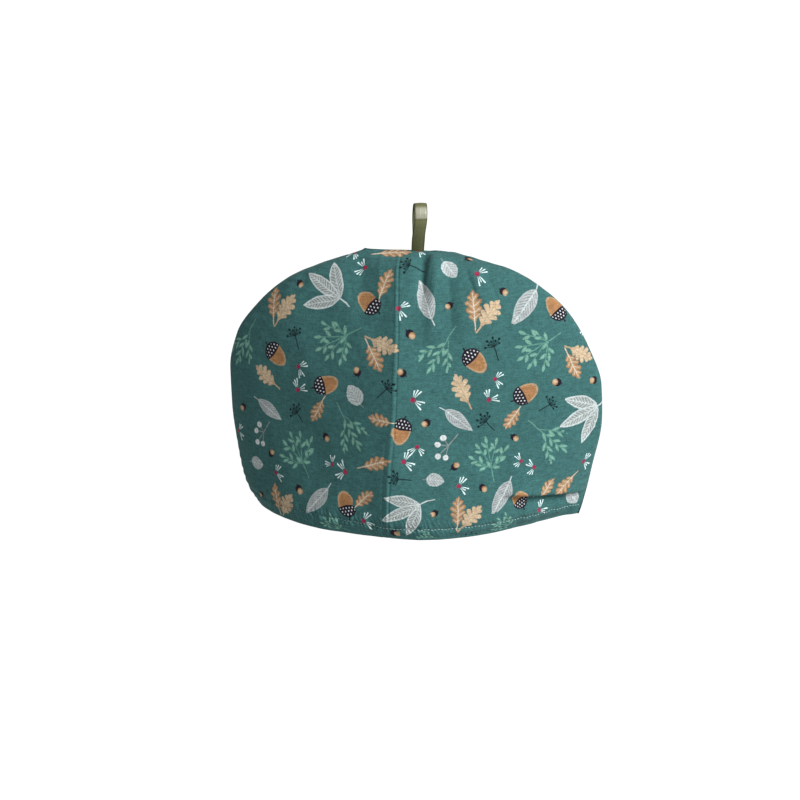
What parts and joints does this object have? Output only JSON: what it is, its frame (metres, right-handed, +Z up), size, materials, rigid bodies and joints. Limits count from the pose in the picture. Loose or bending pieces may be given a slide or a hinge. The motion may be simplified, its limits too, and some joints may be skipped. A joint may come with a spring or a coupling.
{
  "type": "tea cosy",
  "caption": "Domed padded tea cosy of leaf-and-acorn printed cotton, open at the hem, with a ribbon loop at the top.",
  "frame": {"origin": "centre of the footprint, on the surface that the hem stands on", "axes": "+X to the right along the seam seen from the front, +Y to the back, +Z up; the front panel faces -Y"},
  "size_m": [0.3508, 0.1696, 0.2925],
  "materials": {
    "front_cotton": "woven cotton, teal ground with a printed leaf and acorn repeat",
    "back_cotton": "woven cotton, teal ground with a printed leaf and acorn repeat",
    "satin_ribbon": "olive satin ribbon with a soft sheen"
  },
  "bodies": {
    "root": {"front_panel": "front_cotton", "back_panel": "back_cotton", "ribbon_loop": "satin_ribbon"}
  },
  "joints": []
}
